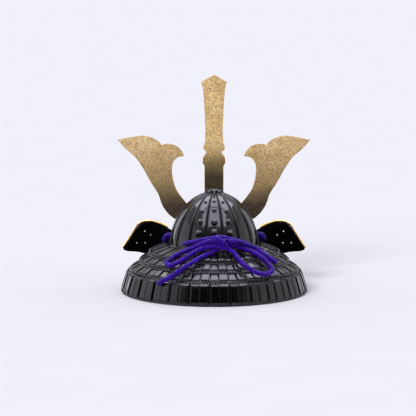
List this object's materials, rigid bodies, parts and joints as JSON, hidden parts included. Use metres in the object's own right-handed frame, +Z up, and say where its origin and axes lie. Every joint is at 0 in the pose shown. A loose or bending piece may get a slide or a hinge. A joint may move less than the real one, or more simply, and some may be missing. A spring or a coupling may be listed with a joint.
{
  "type": "miniature kabuto samurai helmet",
  "caption": "Small cast-metal samurai helmet with a fluted black bowl, tiered neck guard, turned-back wings, gilt horned crest and a purple cord tied in a bow at the back.",
  "frame": {"origin": "under the middle of the helmet's outer box, on the surface that it stands on", "axes": "+Z up, +Y the way the wearer faces, +X the wearer's right"},
  "size_m": [0.1182, 0.0955, 0.128],
  "materials": {
    "black_gloss": "glossy black enamel over cast metal",
    "gilt_cast": "matte sand-cast gilt, darker towards the foot",
    "gilt_bright": "bright gilt",
    "purple_cord": "braided cord, soft sheen"
  },
  "bodies": {
    "root": {"bowl": "black_gloss", "crown_boss": "black_gloss", "neck_lame_1": "black_gloss", "neck_lame_2": "black_gloss", "neck_lame_3": "black_gloss", "neck_skirt": "black_gloss", "visor": "black_gloss", "wing_left": "black_gloss", "wing_right": "black_gloss", "horn_left": "gilt_cast", "horn_right": "gilt_cast", "crest_blade": "gilt_cast", "visor_rim": "gilt_bright", "wing_rim_left": "gilt_bright", "wing_rim_right": "gilt_bright", "crest_holder": "gilt_bright", "wing_pin_left_1": "gilt_bright", "wing_pin_left_2": "gilt_bright", "wing_pin_left_3": "gilt_bright", "wing_pin_left_4": "gilt_bright", "wing_pin_right_1": "gilt_bright", "wing_pin_right_2": "gilt_bright", "wing_pin_right_3": "gilt_bright", "wing_pin_right_4": "gilt_bright", "cord_threaded": "purple_cord", "bow_knot": "purple_cord", "bow_loop_left": "purple_cord", "bow_loop_right": "purple_cord", "bow_tail_left": "purple_cord", "bow_tail_right": "purple_cord"}
  },
  "joints": []
}
